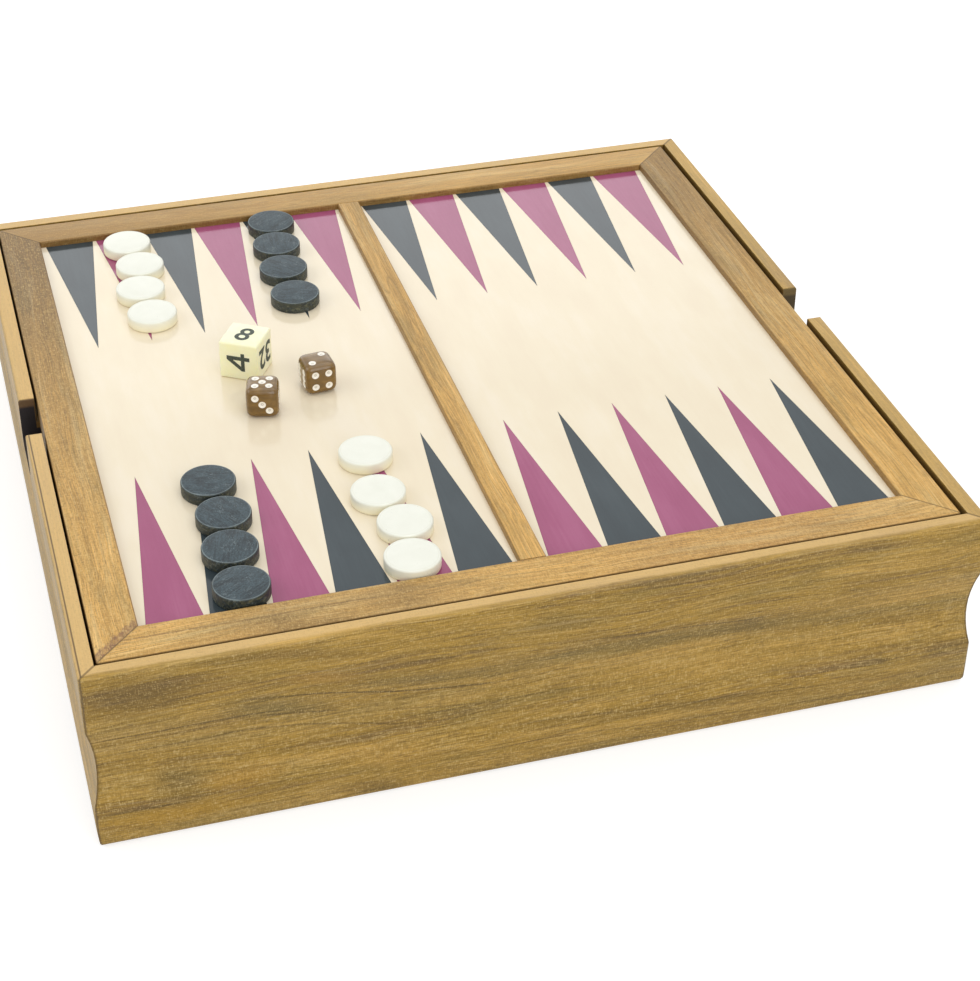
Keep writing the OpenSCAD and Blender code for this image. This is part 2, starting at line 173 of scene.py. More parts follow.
def softbox(name, azimuth, elevation, distance, width, height, glow):
    """A softbox that faces the board. Azimuth 0 is behind it and 90 to its right, and glow is
    its brightness, where 1 is white."""
    light = bpy.data.lights.new(name, "AREA")
    light.shape = "RECTANGLE"
    light.size = width
    light.size_y = height
    light.energy = glow * math.pi * width * height
    a, e = math.radians(azimuth), math.radians(elevation)
    away = Vector((math.sin(a) * math.cos(e), math.cos(a) * math.cos(e), math.sin(e)))
    lamp = bpy.data.objects.new(name, light)
    lamp.location = away * distance
    lamp.rotation_euler = away.to_track_quat("Z", "Y").to_euler()
    scene.collection.objects.link(lamp)


softbox("back_softbox", -2, 23, 1.8, 1.8, 0.75, 1.0)
softbox("top_softbox", 50, 77, 1.7, 1.6, 1.6, 1.02)
softbox("left_softbox", -80, 35, 1.7, 1.2, 1.0, 1.5)
softbox("front_softbox", 172, 30, 2.0, 1.6, 1.6, 1.8)


def seen_directly(tree):
    """1 for what the camera sees by itself or in gloss or glass, and 0 for what only gives light."""
    path = add(tree, "LightPath")
    seen = path.outputs["Is Camera Ray"]
    for way in ("Is Glossy Ray", "Is Transmission Ray"):
        seen = add(tree, "Math", {"operation": "MAXIMUM"}, {0: seen, 1: path.outputs[way]})
    return seen


world = bpy.data.worlds.new("studio")
world.use_nodes = True
tree = world.node_tree
tree.nodes.clear()
fill = add(tree, "Background", inputs={"Color": linear("#ffffff"), "Strength": 0.52})
white = add(tree, "Background", inputs={"Color": linear("#ffffff"), "Strength": 1.0})
shown = add(tree, "MixShader", inputs={0: seen_directly(tree), 1: fill, 2: white})
add(tree, "OutputWorld", inputs={"Surface": shown})
scene.world = world


def studio_floor():
    """A pale matt floor that shows as white to the camera and still takes the box's shadow."""
    bm = bmesh.new()
    bmesh.ops.create_grid(bm, x_segments=1, y_segments=1, size=FLOOR_REACH)
    mesh = bpy.data.meshes.new("floor")
    bm.to_mesh(mesh)
    bm.free()
    floor = bpy.data.objects.new("floor", mesh)
    scene.collection.objects.link(floor)
    material = bpy.data.materials.new("pale_floor")
    material.use_nodes = True
    tree = material.node_tree
    tree.nodes.clear()
    lit = add(tree, "BsdfDiffuse", inputs={"Color": linear("#c9c9c9")})
    glow = add(tree, "Emission", inputs={"Color": linear("#ffffff"), "Strength": 0.62})
    bright = add(tree, "AddShader", inputs={0: lit, 1: glow})
    shown = add(tree, "MixShader", inputs={0: seen_directly(tree), 1: lit, 2: bright})
    add(tree, "OutputMaterial", inputs={"Surface": shown})
    mesh.materials.append(material)


studio_floor()


# ---- Woods -------------------------------------------------------------------------------


def grain_space(tree, across_turn, seed):
    """Object coordinates in millimetres with x along the grain, moved to a board of their own."""
    coords = add(tree, "TexCoord")
    return add(
        tree,
        "Mapping",
        inputs={
            "Vector": coords.outputs["Object"],
            "Scale": (1 / MM, 1 / MM, 1 / MM),
            "Rotation": (0, 0, math.radians(across_turn)),
            "Location": (seed * 137.0, seed * 61.0, seed * 29.0),
        },
    )


def place_mm(tree):
    """The place on the whole part in millimetres, as separate x, y and z."""
    coords = add(tree, "TexCoord").outputs["Object"]
    scaled = add(tree, "VectorMath", {"operation": "SCALE"}, {0: coords, "Scale": 1 / MM})
    return add(tree, "SeparateXYZ", inputs={0: scaled})


def facing(tree):
    """The direction that the surface faces, as separate x, y and z."""
    return add(tree, "SeparateXYZ", inputs={0: add(tree, "NewGeometry").outputs["Normal"]})


def stretched(tree, space, along, across, detail=3.0, rough=0.55, distortion=0.0):
    """Noise whose features are about along by across millimetres."""
    squeezed = add(tree, "Mapping", inputs={"Vector": space, "Scale": (1 / along, 1 / across, 1 / across)})
    return add(
        tree,
        "TexNoise",
        inputs={
            "Vector": squeezed, "Scale": 1.0, "Detail": detail, "Roughness": rough, "Distortion": distortion
        },
    )


def within(tree, value, middle, reach, soft):
    """1 where value lies within reach of middle, fading to 0 over soft."""
    off = add(tree, "Math", {"operation": "SUBTRACT"}, {0: value, 1: middle})
    off = add(tree, "Math", {"operation": "ABSOLUTE"}, {0: off})
    return add(tree, "MapRange", inputs={"Value": off, "From Min": reach + soft, "From Max": reach})


def stain(tree, colour, mask, amount, tone, blend="MIX"):
    """The colour with a tone laid over it by amount, where the mask is 1."""
    share = add(tree, "Math", {"operation": "MULTIPLY"}, {0: mask, 1: amount})
    return add(
        tree, "Mix", {"data_type": "RGBA", "blend_type": blend}, {0: share, 6: colour, 7: linear(tone)}
    )


def where_all(tree, *masks):
    """1 only where every one of the masks is 1."""
    shared = masks[0]
    for mask in masks[1:]:
        shared = add(tree, "Math", {"operation": "MULTIPLY"}, {0: shared, 1: mask})
    return shared


def past_edge(tree, parts, shift, width, depth):
    """How many millimetres a place lies outside a rectangle that is shifted to the left."""
    x = add(tree, "Math", {"operation": "ADD"}, {0: parts.outputs["X"], 1: shift})
    past = []
    for place, size in ((x, width), (parts.outputs["Y"], depth)):
        off = add(tree, "Math", {"operation": "ABSOLUTE"}, {0: place})
        past.append(add(tree, "Math", {"operation": "SUBTRACT"}, {0: off, 1: size / 2}))
    return add(tree, "Math", {"operation": "MAXIMUM"}, {0: past[0], 1: past[1]})


def mitre_glue(width, depth, shift, reach):
    """A mark: the dark glue line of a frame's four mitres, reaching that far to each side."""

    def mark(tree, parts, colour):
        x = add(tree, "Math", {"operation": "ADD"}, {0: parts.outputs["X"], 1: shift})
        x = add(tree, "Math", {"operation": "ABSOLUTE"}, {0: x})
        y = add(tree, "Math", {"operation": "ABSOLUTE"}, {0: parts.outputs["Y"]})
        off = add(tree, "Math", {"operation": "SUBTRACT"}, {0: x, 1: y})
        line = within(tree, off, (width - depth) / 2, reach, 0.4)
        return stain(tree, colour, line, 0.65, "#55401f")

    return mark


def inner_edge(tree, parts, colour):
    """A mark: the dark line where a rail's inner edge meets the field."""
    past = past_edge(tree, parts, LID_SHIFT, FIELD_W, FIELD_D)
    return stain(tree, colour, within(tree, past, 0.0, 0.25, 0.35), 0.55, "#6a4a20")


def bar_edges(tree, parts, colour):
    """A mark: the dark lines along both edges of the centre bar."""
    off = add(tree, "Math", {"operation": "SUBTRACT"}, {0: parts.outputs["X"], 1: BAR_X})
    off = add(tree, "Math", {"operation": "ABSOLUTE"}, {0: off})
    return stain(tree, colour, within(tree, off, BAR_W / 2, 0.2, 0.35), 0.5, "#6a4a20")


def rim_top_painted_light(reach, amount):
    """A mark: painted light on the flat, upward-facing top of a wall, paler than its moulded side by
    amount, out to reach millimetres from the middle of the box, where it ends raggedly."""

    def mark(tree, parts, colour):
        top = add(
            tree,
            "MapRange",
            inputs={"Value": facing(tree).outputs["Z"], "From Min": UP_FROM, "From Max": UP_FULL},
        )
        ragged = stretched(tree, grain_space(tree, 0, 55), 14, 3, 4.0, 0.7)
        out = past_edge(tree, parts, 0.0, 0.0, 0.0)
        out = add(tree, "Math", {"operation": "MULTIPLY_ADD"}, {0: ragged, 1: 2.4, 2: out})
        flat = add(
            tree,
            "MapRange",
            inputs={
                "Value": out,
                "From Min": reach + 0.8,
                "From Max": reach + 1.9,
                "To Min": 1.0,
                "To Max": 0.12,
            },
        )
        high = add(
            tree, "Math", {"operation": "GREATER_THAN"}, {0: parts.outputs["Z"], 1: RIM_Z - TOP_BAND}
        )
        top = where_all(tree, top, high, flat)
        # Painted light: the upward-facing top made paler
        return stain(tree, colour, top, amount, "#e3be80")

    return mark


def gap_painted_shade(tree, parts, colour):
    """A mark: painted shade, in a dark brown, on the walls' inner sides down in the gap round the lid."""
    past = past_edge(tree, parts, 0.0, BOX_W - 2 * RIM_T, BOX_W - 2 * RIM_T)
    inside = add(tree, "MapRange", inputs={"Value": past, "From Min": 0.4, "From Max": 0.1})
    low = add(
        tree,
        "MapRange",
        inputs={"Value": parts.outputs["Z"], "From Min": RIM_Z - 0.2, "From Max": RIM_Z - 0.9},
    )
    high = add(tree, "Math", {"operation": "GREATER_THAN"}, {0: parts.outputs["Z"], 1: SEAT_Z - 2.5})
    inside = where_all(tree, inside, low, high)
    # Painted shade in the narrow gap round the lid
    return stain(tree, colour, inside, 0.85, "#7a5c2e")


def rim_line(tree, parts, colour):
    """A mark: the dark line along the left wall's outer top edge, in front of the notch."""
    line = within(tree, parts.outputs["X"], 1.2 - BOX_W / 2, 0.1, 0.35)
    front = add(tree, "Math", {"operation": "LESS_THAN"}, {0: parts.outputs["Y"], 1: -NOTCH_W / 2 - 0.6})
    high = add(tree, "Math", {"operation": "GREATER_THAN"}, {0: parts.outputs["Z"], 1: RIM_Z - TOP_BAND})
    line = where_all(tree, line, front, high)
    return stain(tree, colour, line, 0.85, "#4d3820")


def notch_end(upper, lower):
    """A mark: the sawn ends of the finger notch, brown near the rim and darker below, but not the
    moulded side of the wall."""

    def mark(tree, parts, colour):
        way = facing(tree)
        sawn = add(tree, "Math", {"operation": "ABSOLUTE"}, {0: way.outputs["Y"]})
        sawn = add(tree, "MapRange", inputs={"Value": sawn, "From Min": 0.5, "From Max": 0.9})
        sawn = where_all(tree, sawn, within(tree, parts.outputs["Y"], 0.0, NOTCH_W / 2 + 2, 1.0))
        colour = stain(tree, colour, sawn, 0.9, upper)
        deep = add(
            tree,
            "MapRange",
            inputs={"Value": parts.outputs["Z"], "From Min": RIM_Z - 2.9, "From Max": RIM_Z - 4.1},
        )
        near = within(tree, parts.outputs["Y"], 0.0, NOTCH_W / 2 + 0.05, 0.1)
        inside = add(tree, "Math", {"operation": "MAXIMUM"}, {0: sawn, 1: near})
        outer = add(tree, "Math", {"operation": "ABSOLUTE"}, {0: way.outputs["X"]})
        outer = add(tree, "MapRange", inputs={"Value": outer, "From Min": 0.5, "From Max": 0.8})
        x = add(tree, "Math", {"operation": "ABSOLUTE"}, {0: parts.outputs["X"]})
        x = add(tree, "Math", {"operation": "GREATER_THAN"}, {0: x, 1: BOX_W / 2 - 2.5})
        cut = add(tree, "Math", {"operation": "SUBTRACT"}, {0: 1.0, 1: where_all(tree, outer, x)})
        foot = RIM_Z - NOTCH_DEPTH - 0.2
        high = add(tree, "Math", {"operation": "GREATER_THAN"}, {0: parts.outputs["Z"], 1: foot})
        deep = where_all(tree, deep, inside, cut, high)
        return stain(tree, colour, deep, 0.95, lower)

    return mark


def mauve_mitre(tree, parts, colour):
    """A mark: the mauve-brown heartwood at the left rail's front end, along the mitre."""
    wander = stretched(tree, grain_space(tree, -90, 51), 5, 2, 3.0)
    across = add(tree, "Math", {"operation": "SUBTRACT"}, {0: parts.outputs["Y"], 1: parts.outputs["X"]})
    across = add(tree, "Math", {"operation": "MULTIPLY_ADD"}, {0: wander, 1: 7.0, 2: across})
    patch = add(tree, "MapRange", inputs={"Value": across, "From Min": 9.0, "From Max": 7.6})
    front = add(tree, "Math", {"operation": "LESS_THAN"}, {0: parts.outputs["Y"], 1: -100.0})
    blots = stretched(tree, grain_space(tree, -90, 56), 2.2, 1.4, 3.0, 0.7)
    blots = add(
        tree,
        "MapRange",
        inputs={"Value": blots, "From Min": 0.35, "From Max": 0.6, "To Min": 0.35, "To Max": 1.0},
    )
    return stain(tree, colour, where_all(tree, patch, front, blots), 0.75, "#765044")


def greyer_back(amount):
    """A mark: wood that turns greyer and darker towards the back."""

    def mark(tree, parts, colour):
        back = add(
            tree, "MapRange", inputs={"Value": parts.outputs["Y"], "From Min": -90.0, "From Max": 110.0}
        )
        return stain(tree, colour, back, amount, "#aaabb6", "MULTIPLY")

    return mark


def duller_left(tree, parts, colour):
    """A mark: the back rail's wood, which turns duller towards the left."""
    left = add(
        tree,
        "MapRange",
        inputs={
            "Value": parts.outputs["X"], "From Min": -150.0, "From Max": 60.0, "To Min": 1.0, "To Max": 0.3
        },
    )
    return stain(tree, colour, left, 0.8, "#93713f")


def lid_gap_painted_shade(tree, parts, colour):
    """A mark: painted shade, in a dark brown, on the lid's outer sides down in the gap round it."""
    past = past_edge(tree, parts, LID_SHIFT, FIELD_W, FIELD_D)
    side = add(tree, "MapRange", inputs={"Value": past, "From Min": RAIL_W - 0.4, "From Max": RAIL_W - 0.1})
    # Painted shade in the narrow gap round the lid
    return stain(tree, colour, side, 0.8, "#5e4622")


def rail_line(tree, parts, colour):
    """A mark: the front rail's dark growth line, the greyer wood beside it and a duller patch."""
    wander = stretched(tree, grain_space(tree, 0, 52), 26, 9, 3.0)
    y = add(tree, "Math", {"operation": "MULTIPLY_ADD"}, {0: wander, 1: 3.5, 2: parts.outputs["Y"]})
    line = within(tree, y, -142.0, 0.15, 0.4)
    line = where_all(tree, line, within(tree, parts.outputs["X"], -100.0, 38.0, 25.0))
    colour = stain(tree, colour, line, 0.5, "#6d4a2a")
    grey = within(tree, parts.outputs["X"], -70.0, 22.0, 35.0)
    colour = stain(tree, colour, where_all(tree, grey, wander), 1.0, "#7d6337")
    dull = within(tree, parts.outputs["X"], 80.0, 30.0, 40.0)
    return stain(tree, colour, where_all(tree, dull, wander), 0.45, "#8a5f3c")


def oval_reach(tree, x, level, mid_x, mid_level, half_x, half_level):
    """The distance from the middle of an oval on the wall, where 1 is its edge."""
    u = add(tree, "Math", {"operation": "MULTIPLY_ADD"}, {0: x, 1: 1 / half_x, 2: -mid_x / half_x})
    v = add(
        tree,
        "Math",
        {"operation": "MULTIPLY_ADD"},
        {0: level, 1: 1 / half_level, 2: -mid_level / half_level},
    )
    place = add(tree, "CombineXYZ", inputs={0: u, 1: v})
    return add(tree, "VectorMath", {"operation": "LENGTH"}, {0: place}).outputs["Value"]


def wall_figure(tree, parts, colour):
    """A mark: the front wall's figure. Growth lines sink to the right of an eye of grey-green
    wood, with darker and more golden clouds round it."""
    x = parts.outputs["X"]
    wander = stretched(tree, grain_space(tree, 0, 53), 34, 16, 3.0)
    sink = add(
        tree,
        "MapRange",
        {"interpolation_type": "SMOOTHSTEP"},
        {"Value": x, "From Min": -112.0, "From Max": -20.0, "To Min": -1.5, "To Max": 12.5},
    )
    slope = add(
        tree,
        "MapRange",
        inputs={"Value": x, "From Min": 0.0, "From Max": 160.0, "To Min": 0.0, "To Max": 11.0},
    )
    level = add(tree, "Math", {"operation": "ADD"}, {0: sink, 1: slope})
    level = add(tree, "Math", {"operation": "ADD"}, {0: level, 1: parts.outputs["Z"]})
    level = add(tree, "Math", {"operation": "MULTIPLY_ADD"}, {0: wander, 1: 3.0, 2: level})
    ragged = stretched(tree, grain_space(tree, 0, 54), 9, 1.6, 4.0, 0.7)
    # Clouds: middle x and level, half length and half height, strength and tone
    for mx, mh, rx, rh, amount, tone in (
        (-141, 62.5, 23, 8.5, 0.65, "#665028"),
        (-130, 22, 11, 9, 0.55, "#65542a"),
        (-109, 20, 15, 5, 0.5, "#b98c38"),
        (-134, 9.5, 32, 4, 0.55, "#b98e30"),
        (-78, 60, 16, 3, 0.45, "#ba8a3e"),
        (-35, 59, 60, 4, 0.45, "#6f6030"),
        (60, 62, 75, 4, 0.5, "#6c5c2e"),
        (-92, 71, 30, 2.5, 0.6, "#7b5f2a"),
        (-60, 26, 20, 6, 0.35, "#b98f42"),
        (-62, 11, 12, 5, 0.5, "#65501f"),
        (70, 46, 60, 7, 0.4, "#b99344"),
        (40, 32, 70, 3, 0.4, "#6e5826"),
    ):
        reach = oval_reach(tree, x, level, mx, mh, rx, rh)
        reach = add(tree, "Math", {"operation": "MULTIPLY_ADD"}, {0: ragged, 1: 0.9, 2: reach})
        cloud = add(tree, "MapRange", inputs={"Value": reach, "From Min": 1.65, "From Max": 0.75})
        colour = stain(tree, colour, cloud, amount, tone)
    # The eye, leaning down to the right
    lean = add(tree, "Math", {"operation": "MULTIPLY_ADD"}, {0: x, 1: 0.25, 2: parts.outputs["Z"]})
    reach = oval_reach(tree, x, lean, -97, 22.2, 17, 5.4)
    reach = add(tree, "Math", {"operation": "MULTIPLY_ADD"}, {0: wander, 1: 0.5, 2: reach})
    reach = add(tree, "Math", {"operation": "MULTIPLY_ADD"}, {0: ragged, 1: 0.8, 2: reach})
    eye = add(tree, "MapRange", inputs={"Value": reach, "From Min": 2.1, "From Max": 0.75})
    colour = stain(tree, colour, eye, 0.5, "#5c5938")
    # Growth lines: level, middle x, half length and strength
    for mh, mx, rx, amount in (
        (53.2, -60, 52, 0.75),
        (45.8, -126, 40, 0.6),
        (44.2, -88, 14, 0.6),
        (38.5, -100, 58, 0.5),
        (44.5, -20, 40, 0.35),
        (66.8, 45, 45, 0.6),
        (14.0, -142, 18, 0.6),
        (33.0, 60, 80, 0.35),
        (25.5, 60, 100, 0.4),
    ):
        line = where_all(tree, within(tree, level, mh, 0.12, 0.5), within(tree, x, mx, rx * 0.6, rx * 0.6))
        colour = stain(tree, colour, line, amount, "#4c3c1c")
    return colour


def rubberwood(name, tones, turn, seed, flats, figure=(), marks=()):
    """Rubberwood, stained and lacquered satin: honey to olive brown, in long soft patches with
    finer streaks and threads, thin wandering growth lines, short flecks of ray tissue across the
    grain and open pores. tones runs from dark to light, turn is the grain's direction and seed
    picks the board. flats is how much of the flecks and pores is left on surfaces that face
    upwards. figure and marks add the features of one board, and painted light and shade, below
    and above the flecks."""
    material, tree, shader = new_material(name)
    space = grain_space(tree, turn, seed)
    parts = place_mm(tree)
    wander = stretched(tree, space, 110, 34, 2.0)
    bent = add(
        tree,
        "VectorMath",
        {"operation": "MULTIPLY_ADD"},
        {0: wander.outputs["Color"], 1: (0, 10, 10), 2: space},
    )
    patches = stretched(tree, bent, 95, 8, 3.0)
    streaks = stretched(tree, bent, 55, 1.4, 5.0, 0.62)
    fibres = stretched(tree, space, 6, 0.4, 3.0, 0.65)
    level = add(tree, "Math", {"operation": "MULTIPLY_ADD"}, {0: streaks, 1: 0.8, 2: patches})
    level = add(tree, "Math", {"operation": "MULTIPLY_ADD"}, {0: fibres, 1: 0.3, 2: level})
    dark = add(tree, "MapRange", inputs={"Value": level, "From Min": 1.0, "From Max": 0.78})
    light = add(tree, "MapRange", inputs={"Value": level, "From Min": 1.06, "From Max": 1.26})
    colour = add(tree, "RGB")
    colour.outputs[0].default_value = linear(tones[1])
    colour = stain(tree, colour, dark, 1.0, tones[0])
    colour = stain(tree, colour, light, 1.0, tones[2])

    # Fine long fibres, a little lighter and darker, and olive-grey clouds
    silk = stretched(tree, bent, 26, 0.42, 3.0, 0.6)
    gain = add(
        tree,
        "MapRange",
        inputs={"Value": silk, "From Min": 0.3, "From Max": 0.7, "To Min": 0.72, "To Max": 1.28},
    )
    colour = add(tree, "VectorMath", {"operation": "SCALE"}, {0: colour, "Scale": gain})
    olive = stretched(tree, bent, 50, 8, 3.0)
    olive = add(tree, "MapRange", inputs={"Value": olive, "From Min": 0.5, "From Max": 0.68})
    colour = stain(tree, colour, olive, 0.3, "#776d3f")

    # Surfaces that face upwards were sanded smoother
    up = facing(tree).outputs["Z"]
    coarse, sanded = [
        add(
            tree,
            "MapRange",
            inputs={"Value": up, "From Min": UP_FROM, "From Max": UP_FULL, "To Min": 1.0, "To Max": left},
        )
        for left in (flats, 0.4)
    ]

    # Threads along the grain, dark and pale, and growth lines
    threads = stretched(tree, bent, 40, 0.55, 2.0)
    thread = add(tree, "MapRange", inputs={"Value": threads, "From Min": 0.54, "From Max": 0.66})
    colour = stain(tree, colour, where_all(tree, thread, sanded), 0.42, "#5f4a22")
    thread = add(tree, "MapRange", inputs={"Value": threads, "From Min": 0.46, "From Max": 0.32})
    colour = stain(tree, colour, thread, 0.3, "#d0b57e")
    rings = stretched(tree, bent, 230, 9, 1.0, 0.4)
    rings = add(tree, "Math", {"operation": "MULTIPLY"}, {0: rings, 1: 9.0})
    rings = add(tree, "Math", {"operation": "PINGPONG"}, {0: rings, 1: 0.5})
    ring = add(tree, "MapRange", inputs={"Value": rings, "From Min": 0.06, "From Max": 0.0})
    colour = stain(tree, colour, ring, 0.3, "#6a532b")
    for mark in figure:
        colour = mark(tree, parts, colour)

    # Ray flecks across the grain and pores along it, drawn about 0.4 mm wide so that they show
    flecks = stretched(tree, space, 0.45, 1.5, 2.0, 0.7)
    grains = stretched(tree, space, 2.6, 0.36, 2.0, 0.6)
    mottle = add(tree, "Math", {"operation": "ADD"}, {0: flecks, 1: grains})
    fleck = add(tree, "MapRange", inputs={"Value": mottle, "From Min": 1.05, "From Max": 1.27})
    colour = stain(tree, colour, where_all(tree, fleck, coarse), 0.6, "#dabf84")
    pore = add(tree, "MapRange", inputs={"Value": mottle, "From Min": 0.98, "From Max": 0.72})
    pore = where_all(tree, pore, coarse)
    colour = stain(tree, colour, pore, 0.5, "#58472a")

    for mark in marks:
        colour = mark(tree, parts, colour)

    gloss = add(
        tree,
        "MapRange",
        inputs={"Value": mottle, "From Min": 0.8, "From Max": 1.2, "To Min": 0.36, "To Max": 0.5},
    )
    relief = add(tree, "Math", {"operation": "MULTIPLY_ADD"}, {0: pore, 1: -1.0, 2: fibres})
    bump = add(tree, "Bump", inputs={"Height": relief, "Strength": 0.4, "Distance": 0.05 * MM})
    fit(
        tree, shader, {"Base Color": colour, "Roughness": gloss, "Normal": bump, "Specular IOR Level": 0.28}
    )
    return material


box_glue = mitre_glue(BOX_W, BOX_W, 0.0, 0.4)
lid_glue = mitre_glue(LID_W, LID_D, LID_SHIFT, 0.2)
WALL_TONES = ("#85693a", "#a98638", "#c19a4c")
RAIL_TONES = ("#b98f4a", "#d3a55a", "#e0ba77")

for node, turn, seed, figure, marks in (
    ("front_wall", 0, 1, (wall_figure, rim_top_painted_light(157.9, 0.7)), ()),
    ("back_wall", 0, 2, (rim_top_painted_light(161.0, 0.72),), ()),
    ("left_wall", -90, 3, (rim_top_painted_light(161.0, 0.72),), (rim_line, notch_end("#5b4432", "#232124"))),
    ("right_wall", -90, 4, (rim_top_painted_light(161.0, 0.35),), (notch_end("#6b5a35", "#4a3c22"),)),
):
    wood = rubberwood(
        node + "_rubberwood", WALL_TONES, turn, seed, 0.35, figure, marks + (gap_painted_shade, box_glue)
    )
    dress_copy(node, node + "_moulding", "box", wood, 20)

for side, turn, seed, flats, figure in (
    ("front", 0, 5, 0.9, (rail_line,)),
    ("back", 0, 6, 0.5, (duller_left,)),
    ("left", -90, 7, 0.9, (greyer_back(1.0), mauve_mitre)),
    ("right", -90, 8, 0.5, (greyer_back(0.8),)),
):
    wood = rubberwood(
        side + "_rail_rubberwood", RAIL_TONES, turn, seed, flats, figure, (inner_edge, lid_glue, lid_gap_painted_shade)
    )
    dress_copy("lid_" + side + "_rail", side + "_rail_frame", "lid", wood)

wood = rubberwood("centre_bar_rubberwood", RAIL_TONES, -90, 9, 0.5, (greyer_back(0.3),), (bar_edges,))
dress_copy("centre_bar", "centre_bar_strip", "lid", wood)


def veneer(name, tones, turn, seed, roughness, grain=1.0, pitted=1.0):
    """Sliced veneer, dyed or natural, under gloss lacquer: fine straight grain and few pores.
    tones runs from dark to light, grain is the strength of the streaks and pitted of the pores."""
    material, tree, shader = new_material(name)
    space = grain_space(tree, turn, seed)
    cloud = stretched(tree, space, 40, 12, 3.0)
    streaks = stretched(tree, space, 34, 1.1, 4.0, 0.6)
    level = add(tree, "Math", {"operation": "MULTIPLY_ADD"}, {0: streaks, 1: 0.7 * grain, 2: -0.35 * grain})
    level = add(tree, "Math", {"operation": "ADD"}, {0: cloud, 1: level})
    colour = add(
        tree, "ValToRGB", {"ramp": [(0.32, tones[0]), (0.5, tones[1]), (0.68, tones[2])]}, {0: level}
    )
    pores = stretched(tree, space, 2.6, 0.32, 1.0)
    pore = add(tree, "MapRange", inputs={"Value": pores, "From Min": 0.66, "From Max": 0.74})
    colour = stain(tree, colour, pore, 0.35 * pitted, "#b09a80", "MULTIPLY")
    haze = stretched(tree, space, 30, 30, 3.0)
    gloss = add(
        tree,
        "MapRange",
        inputs={
            "Value": haze,
            "From Min": 0.3,
            "From Max": 0.7,
            "To Min": roughness - 0.03,
            "To Max": roughness + 0.04,
        },
    )
    bump = add(tree, "Bump", inputs={"Height": streaks, "Strength": 0.12, "Distance": 0.02 * MM})
    fit(tree, shader, {"Base Color": colour, "Roughness": gloss, "Normal": bump, "IOR": 1.5})
    return material


def dress(material, *nodes):
    """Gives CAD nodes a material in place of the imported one."""
    for node in nodes:
        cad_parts[node].data.materials.clear()
        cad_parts[node].data.materials.append(material)


# Maple, grey-dyed and purple-dyed veneers under one coat of gloss lacquer
dress(veneer("maple_veneer", ("#efe1c6", "#f1e4c9", "#f3e7cf"), -90, 11, 0.14, 0.25, 0.0), "playing_field")
dress(veneer("grey_dyed_veneer", ("#353f44", "#384348", "#3c474c"), -90, 12, 0.14, 0.5, 0.3), "grey_points")
dress(
    veneer("purple_dyed_veneer", ("#a04e74", "#a45278", "#a9597e"), -90, 13, 0.14, 0.5, 0.3),
    "purple_points",
)

# The draughts side: walnut and maple squares in a rubberwood border
dress(veneer("maple_squares", ("#d3bd8f", "#e0cda4", "#e9dab8"), 0, 14, 0.3), "draughts_light_squares")
dress(veneer("walnut_squares", ("#472a17", "#5c3820", "#70482c"), -90, 15, 0.3), "draughts_dark_squares")
dress(veneer("border_veneer", RAIL_TONES, 0, 16, 0.3), "draughts_border")


def birch_plywood(name, turn, seed, axis, start):
    """Birch plywood, sanded and unsealed: pale peeled faces, and edges that show the plies, which
    lie on each other along axis."""
    material, tree, shader = new_material(name)
    space = grain_space(tree, turn, seed)
    figure = stretched(tree, space, 70, 9, 4.0, 0.6, 1.2)
    fibres = stretched(tree, space, 9, 0.5, 3.0)
    level = add(tree, "Math", {"operation": "MULTIPLY_ADD"}, {0: fibres, 1: 0.3, 2: figure})
    colour = add(
        tree, "ValToRGB", {"ramp": [(0.45, "#c3a26c"), (0.65, "#d6b985"), (0.85, "#e2cb9d")]}, {0: level}
    )
    # Plies 1.33 mm thick
    ply = add(
        tree,
        "Math",
        {"operation": "MULTIPLY_ADD"},
        {0: place_mm(tree).outputs[axis], 1: 1 / 1.33, 2: start},
    )
    ply = add(tree, "Math", {"operation": "PINGPONG"}, {0: ply, 1: 1.0})
    flat = add(tree, "Math", {"operation": "ABSOLUTE"}, {0: facing(tree).outputs[axis]})
    edge = add(tree, "MapRange", inputs={"Value": flat, "From Min": 0.6, "From Max": 0.4, "To Max": 0.7})
    dark = add(tree, "MapRange", inputs={"Value": ply, "From Min": 0.42, "From Max": 0.58})
    colour = stain(tree, colour, where_all(tree, dark, edge), 1.0, "#b08350", "MULTIPLY")
    bump = add(tree, "Bump", inputs={"Height": fibres, "Strength": 0.3, "Distance": 0.05 * MM})
    fit(tree, shader, {"Base Color": colour, "Roughness": 0.62, "Normal": bump, "IOR": 1.5})
    return material


dress(birch_plywood("birch_base", 0, 21, "Z", 0.0), "base_panel", "board_core")
dress(birch_plywood("birch_long_divider", 0, 22, "Y", 0.3), "long_divider")
dress(birch_plywood("birch_cross_dividers", -90, 23, "X", 0.3), "left_cross_divider", "right_cross_divider")
dress(birch_plywood("birch_keys", 45, 24, "Z", 0.3), "wall_corner_keys", "lid_corner_keys")


def baize():
    """Navy wool baize, napped: a soft dull cloth with clumped fibres and a pale sheen."""
    material, tree, shader = new_material("navy_baize")
    space = grain_space(tree, 0, 31)
    nap = stretched(tree, space, 0.8, 0.8, 3.0, 0.7)
    clumps = stretched(tree, space, 7, 5, 3.0)
    level = add(tree, "Math", {"operation": "MULTIPLY_ADD"}, {0: clumps, 1: 0.5, 2: nap})
    colour = add(
        tree, "ValToRGB", {"ramp": [(0.55, "#131b2b"), (0.75, "#1f2b42"), (0.95, "#334464")]}, {0: level}
    )
    bump = add(tree, "Bump", inputs={"Height": nap, "Strength": 0.8, "Distance": 0.3 * MM})
    fit(
        tree,
        shader,
        {
            "Base Color": colour,
            "Roughness": 0.95,
            "Normal": bump,
            "Sheen Weight": 0.4,
            "Specular IOR Level": 0.2,
        },
    )
    return material


dress(baize(), "base_lining")


# ---- Counters ----------------------------------------------------------------------------


